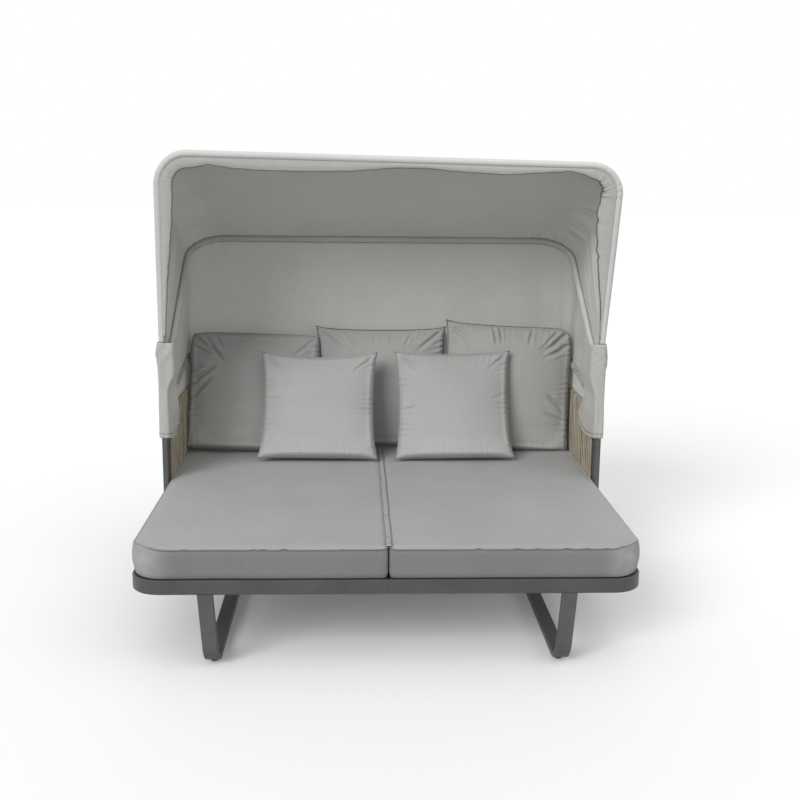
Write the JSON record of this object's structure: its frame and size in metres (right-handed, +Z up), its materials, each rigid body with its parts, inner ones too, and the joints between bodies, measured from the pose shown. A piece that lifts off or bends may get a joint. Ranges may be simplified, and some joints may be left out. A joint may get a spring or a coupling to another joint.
{
  "type": "outdoor daybed with canopy",
  "caption": "Outdoor daybed on sled legs with rope-wound arms and back, a split seat cushion, loose pillows and a cloth canopy on folding hoops.",
  "frame": {"origin": "on the floor under the middle of the seat: the middle of the bounding box's bottom face", "axes": "+X to the right as seen by someone facing the open front, +Y to the back of the daybed, +Z up"},
  "size_m": [1.89, 1.64, 1.8041],
  "materials": {
    "frame": "satin",
    "hardware": "satin",
    "glide_plastic": "matte",
    "rope": "matte",
    "canopy_cloth": "matte",
    "seat_cloth": "matte",
    "pillow_cloth": "matte"
  },
  "bodies": {
    "daybed": {"right_seat_frame": "frame", "left_seat_frame": "frame", "right_slat_deck": "frame", "left_slat_deck": "frame", "front_centre_bolt": "hardware", "front_centre_nut": "hardware", "rear_centre_bolt": "hardware", "rear_centre_nut": "hardware", "right_sled_leg": "frame", "left_sled_leg": "frame", "right_front_glide": "glide_plastic", "left_front_glide": "glide_plastic", "right_front_glide_nut": "hardware", "left_front_glide_nut": "hardware", "right_rear_glide": "glide_plastic", "left_rear_glide": "glide_plastic", "right_rear_glide_nut": "hardware", "left_rear_glide_nut": "hardware", "right_arm_frame": "frame", "left_arm_frame": "frame", "right_front_arm_bolt": "hardware", "left_front_arm_bolt": "hardware", "right_rear_arm_bolt": "hardware", "left_rear_arm_bolt": "hardware", "back_frame": "frame", "right_low_back_bolt": "hardware", "left_low_back_bolt": "hardware", "right_high_back_bolt": "hardware", "left_high_back_bolt": "hardware", "right_arm_rope": "rope", "right_back_rope": "rope", "left_arm_rope": "rope", "left_back_rope": "rope", "right_pivot_bracket": "frame", "left_pivot_bracket": "frame", "right_pivot_bolt": "hardware", "left_pivot_bolt": "hardware", "right_pivot_spacer": "glide_plastic", "left_pivot_spacer": "glide_plastic", "right_pivot_cap_nut": "glide_plastic", "left_pivot_cap_nut": "glide_plastic", "canopy_rear_panel": "canopy_cloth", "right_side_hem": "canopy_cloth", "left_side_hem": "canopy_cloth", "right_corner_cover": "canopy_cloth", "left_corner_cover": "canopy_cloth", "right_seat_cushion": "seat_cloth", "left_seat_cushion": "seat_cloth", "cushion_joining_strip": "seat_cloth", "back_pillow_left": "pillow_cloth", "back_pillow_middle": "pillow_cloth", "back_pillow_right": "pillow_cloth", "scatter_pillow_left": "seat_cloth", "scatter_pillow_right": "seat_cloth"},
    "rear_hoop": {"rear_hoop": "frame", "rear_hoop_sleeve": "canopy_cloth", "canopy_front_panel": "canopy_cloth"},
    "front_hoop": {"front_hoop": "frame", "front_hoop_sleeve": "canopy_cloth", "canopy_facing": "canopy_cloth"}
  },
  "joints": [
    {"name": "rear_hoop_fold", "type": "hinge", "parent": "daybed", "child": "rear_hoop", "pos_m": [0, 0.09, 0.975], "axis": [-1, 0, 0], "range_deg": [0, 22], "deforming": ["canopy_rear_panel"]},
    {"name": "front_hoop_fold", "type": "hinge", "parent": "rear_hoop", "child": "front_hoop", "pos_m": [0, 0.09, 0.975], "axis": [-1, 0, 0], "range_deg": [0, 60], "deforming": ["canopy_front_panel"]}
  ]
}
